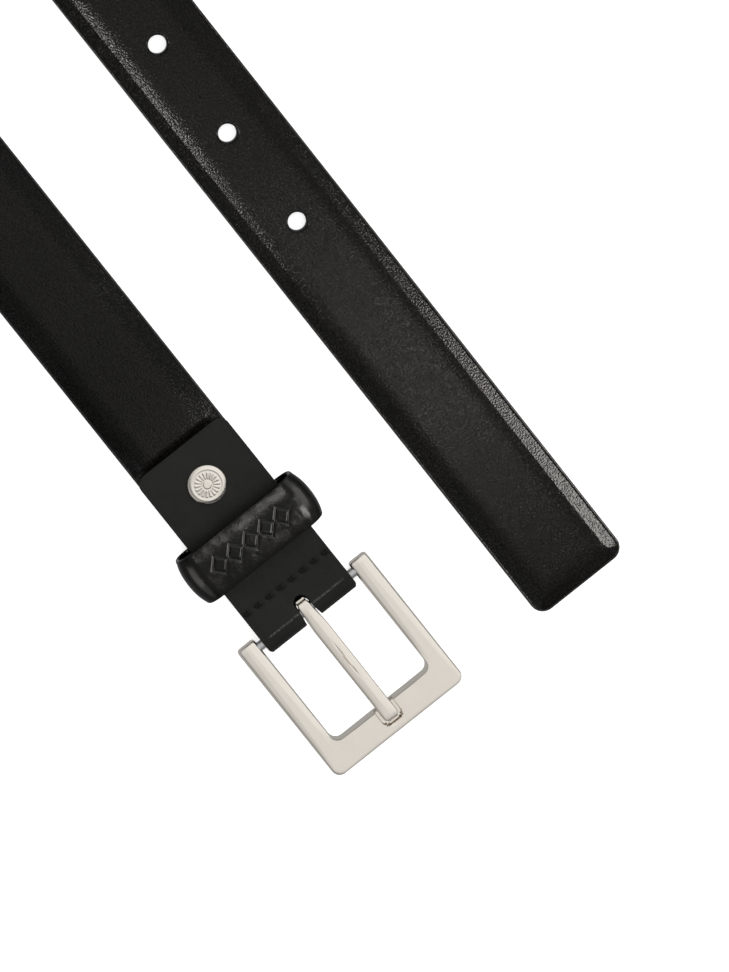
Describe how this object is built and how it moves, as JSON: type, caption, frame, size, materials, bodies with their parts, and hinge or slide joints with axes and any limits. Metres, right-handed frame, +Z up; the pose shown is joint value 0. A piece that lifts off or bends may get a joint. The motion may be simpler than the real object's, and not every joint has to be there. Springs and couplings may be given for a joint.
{
  "type": "leather dress belt",
  "caption": "Slim leather dress belt with a padded centre, square tip, pin buckle, riveted tab and keeper loop, laid out with its middle standing in a loop.",
  "frame": {"origin": "under the middle of the laid-out belt, on the surface it rests on", "axes": "+X along the two straight ends, towards the buckle and the tip; +Z up; the tip end lies on the +Y side and the buckle end on the -Y side"},
  "size_m": [0.53, 0.1184, 0.03],
  "materials": {
    "leather": "fine pebble grain, satin black",
    "filler": "raw bonded leather board",
    "lining": "smooth black split leather",
    "tab_leather": "smooth matte black",
    "keeper_leather": "stiff smooth black, satin",
    "thread": "black waxed thread",
    "nickel": "satin nickel plate",
    "steel_wire": "plain steel wire"
  },
  "bodies": {
    "strap": {"strap_outer": "leather", "strap_filler": "filler", "strap_lining": "lining", "chape_tab": "tab_leather", "chape_stitching": "thread", "rivet_cap": "nickel", "rivet_foot": "nickel"},
    "billet": {"billet_outer": "leather", "billet_filler": "filler", "billet_lining": "lining"},
    "keeper": {"keeper_loop": "keeper_leather", "keeper_staple": "steel_wire"},
    "buckle": {"buckle_frame": "nickel", "buckle_bar": "nickel"},
    "tongue": {"buckle_tongue": "nickel"}
  },
  "joints": [
    {"name": "billet_flex", "type": "hinge", "parent": "strap", "child": "billet", "pos_m": [0.00315, 0.032, 0.0032], "axis": [0, -1, 0], "range_deg": [0, 50]},
    {"name": "keeper_slide", "type": "slide", "parent": "strap", "child": "keeper", "axis": [1, 0, 0], "range_m": [-0.0055, 0.007]},
    {"name": "buckle_swing", "type": "hinge", "parent": "strap", "child": "buckle", "pos_m": [0.2221, -0.032, 0.0027], "axis": [0, -1, 0], "range_deg": [-60, 30]},
    {"name": "tongue_swing", "type": "hinge", "parent": "buckle", "child": "tongue", "pos_m": [0.2221, -0.032, 0.0027], "axis": [0, -1, 0], "range_deg": [0, 90]}
  ]
}
